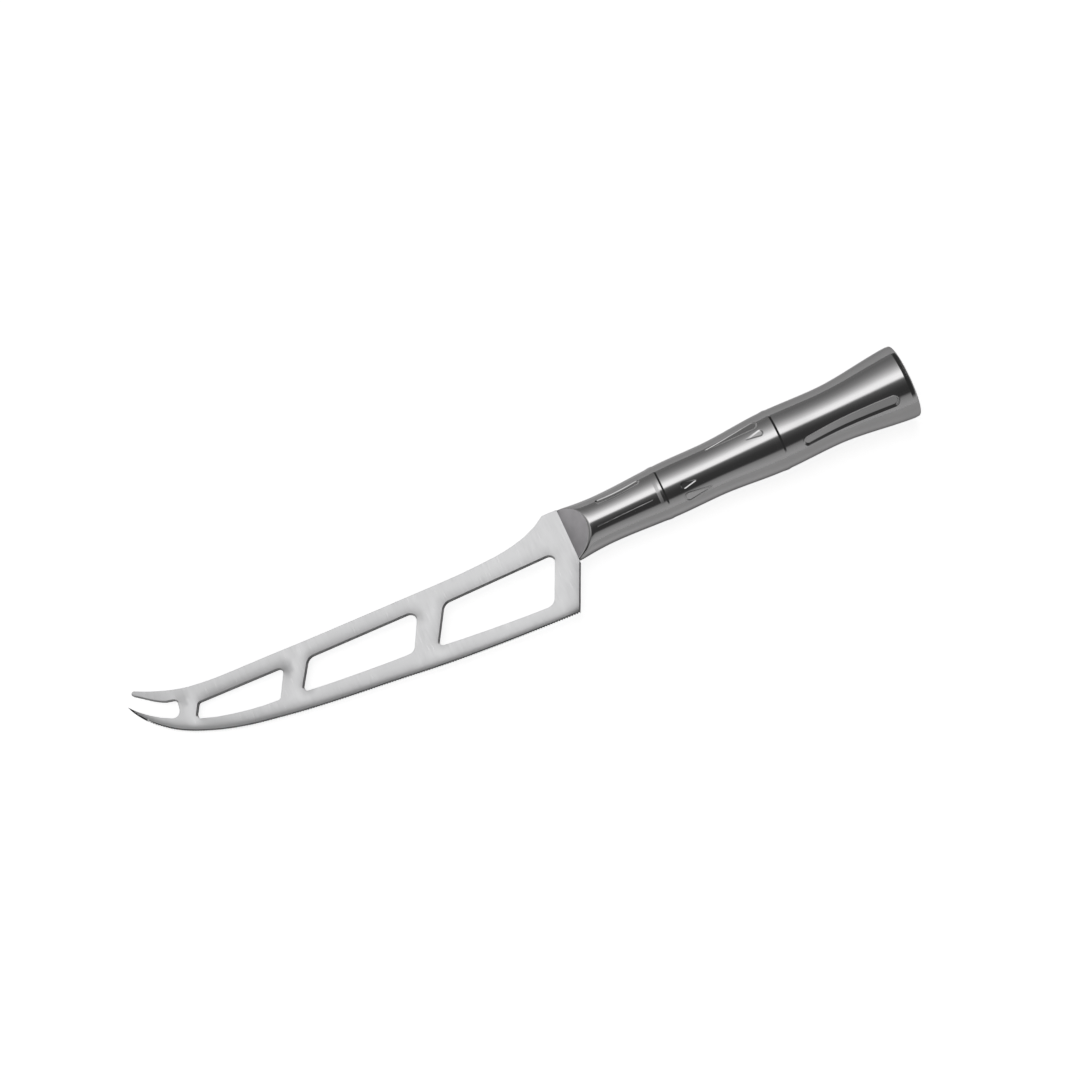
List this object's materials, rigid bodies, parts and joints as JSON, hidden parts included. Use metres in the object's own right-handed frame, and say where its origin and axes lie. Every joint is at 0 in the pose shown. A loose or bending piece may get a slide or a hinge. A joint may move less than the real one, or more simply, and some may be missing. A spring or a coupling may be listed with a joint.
{
  "type": "cheese knife",
  "caption": "Cheese knife with a windowed thin blade, a forked tip for picking up slices, a finely toothed edge and a round hollow steel handle with ring lines.",
  "frame": {"origin": "centre of the butt's flat end, on the handle's axis", "axes": "+X out of the butt along the handle's axis, +Y towards the spine, +Z out of the blade's face"},
  "size_m": [0.2504, 0.035, 0.023],
  "materials": {
    "blade_steel": "fine satin",
    "neck_steel": "satin",
    "shell_steel": "polished",
    "weld_metal": "dressed flush and polished",
    "cap_steel": "polished",
    "handle_filling": "rough",
    "stopper_plastic": "plain"
  },
  "bodies": {
    "root": {"blade": "blade_steel", "neck_insert": "neck_steel", "handle_shell_face": "shell_steel", "handle_shell_back": "shell_steel", "seam_weld_spine": "weld_metal", "seam_weld_edge": "weld_metal", "butt_cap": "cap_steel", "cap_weld": "weld_metal", "ballast": "handle_filling", "ballast_stopper": "stopper_plastic"}
  },
  "joints": []
}
